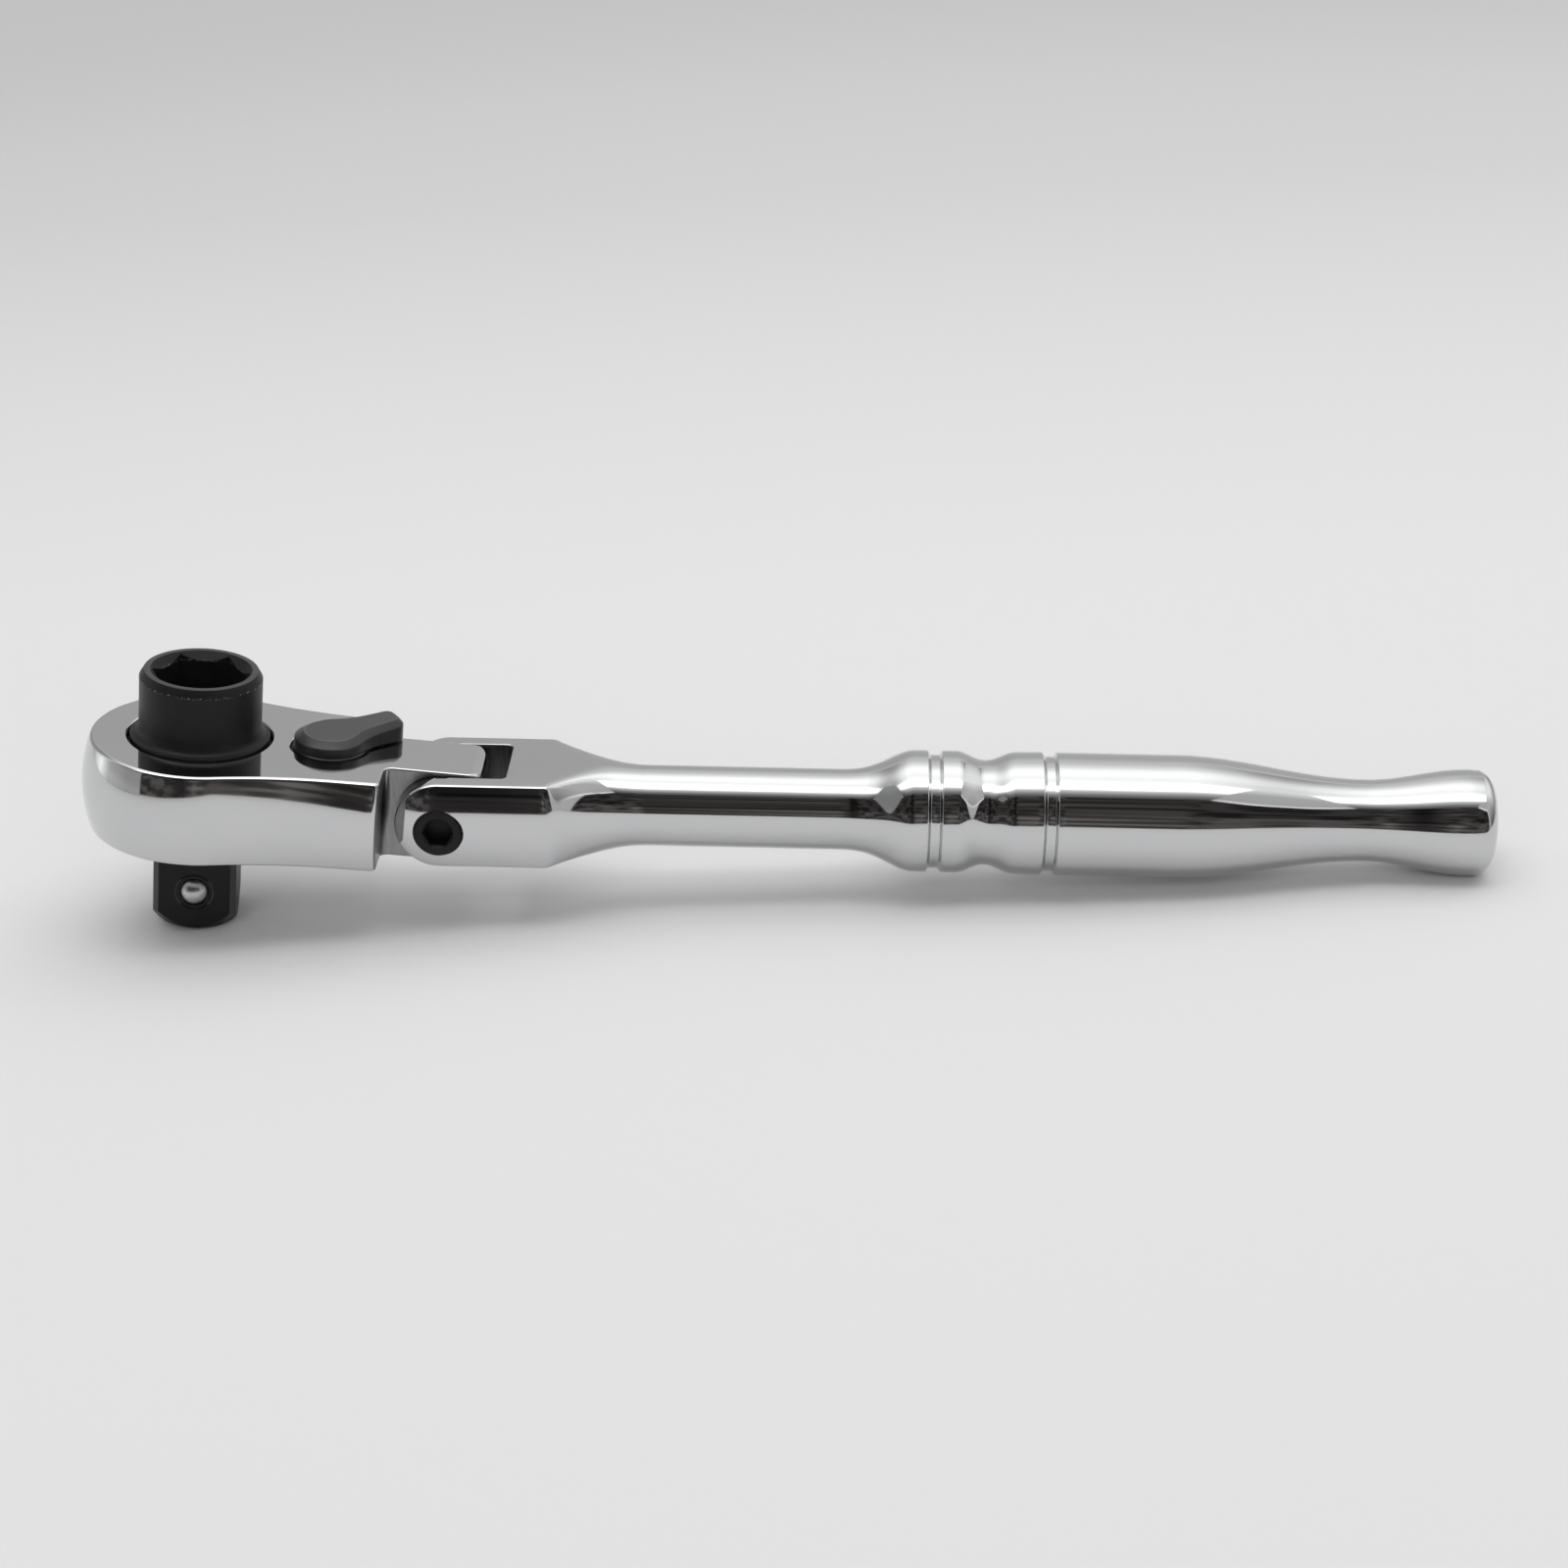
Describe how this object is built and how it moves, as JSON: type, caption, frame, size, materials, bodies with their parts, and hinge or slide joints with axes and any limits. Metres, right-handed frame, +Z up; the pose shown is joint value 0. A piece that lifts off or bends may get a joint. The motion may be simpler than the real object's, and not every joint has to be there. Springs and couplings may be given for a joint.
{
  "type": "ratcheting wrench",
  "caption": "Flex-head ratcheting wrench: hinged plated head with a square drive below, a hexagon socket above and a reversing lever, on a round turned handle.",
  "frame": {"origin": "On the bench plane, below the middle of the tool's bounding box as it lies on its drive and its knob.", "axes": "+X from the head to the knob, +Y across the tool to the side the lever points to, +Z up from the bench."},
  "size_m": [0.1626, 0.0266, 0.032],
  "materials": {
    "plated_steel": "mirror plated",
    "black_oxide": "matte blackened",
    "lever_coat": "satin",
    "bright_steel": "polished",
    "spring_steel": "plain",
    "seal_rubber": "matte"
  },
  "bodies": {
    "handle_body": {"handle": "plated_steel", "hinge_screw": "black_oxide", "friction_washer_near": "spring_steel", "friction_washer_far": "spring_steel"},
    "head_body": {"head_housing": "plated_steel", "base_cover": "plated_steel", "cover_screw_near": "black_oxide", "cover_screw_far": "black_oxide", "thrust_washer": "spring_steel", "pawl_pin": "bright_steel"},
    "rotor_body": {"drive_rotor": "black_oxide", "rotor_seal": "seal_rubber", "detent_spring": "spring_steel"},
    "ball_body": {"detent_ball": "bright_steel"},
    "lever_body": {"reverse_lever": "lever_coat", "lever_seal": "seal_rubber", "lever_clip": "spring_steel", "plunger_spring": "spring_steel"},
    "plunger_body": {"lever_plunger": "bright_steel"},
    "pawl_body": {"pawl": "bright_steel"}
  },
  "joints": [
    {"name": "head_flex", "type": "hinge", "parent": "handle_body", "child": "head_body", "pos_m": [-0.03966, 0, 0.01301], "axis": [0, 1, 0], "range_deg": [-94.5, 75.5]},
    {"name": "rotor_spin", "type": "hinge", "parent": "head_body", "child": "rotor_body", "pos_m": [-0.06716, 0, 0.02303], "axis": [0.1425, 0, 0.9898], "continuous": true},
    {"name": "ball_press", "type": "slide", "parent": "rotor_body", "child": "ball_body", "axis": [-0.1035, 0.9945, 0.0149], "range_m": [0, 0.0009], "stiffness_N_per_m": 1500, "deforming": ["detent_spring"]},
    {"name": "lever_swing", "type": "hinge", "parent": "head_body", "child": "lever_body", "pos_m": [-0.05231, 0, 0.02089], "axis": [0.1425, 0, 0.9898], "range_deg": [-71, 0]},
    {"name": "plunger_slide", "type": "slide", "parent": "lever_body", "child": "plunger_body", "axis": [0.8058, 0.5807, -0.116], "range_m": [0, 0.0005], "stiffness_N_per_m": 800, "deforming": ["plunger_spring"]},
    {"name": "pawl_rock", "type": "hinge", "parent": "head_body", "child": "pawl_body", "pos_m": [-0.05671, 0, 0.02153], "axis": [0.1425, 0, 0.9898], "range_deg": [-0.4, 7.6]}
  ],
  "couplings": [
    {"joint": "pawl_rock", "follows": "lever_swing", "ratio": -0.1014}
  ]
}
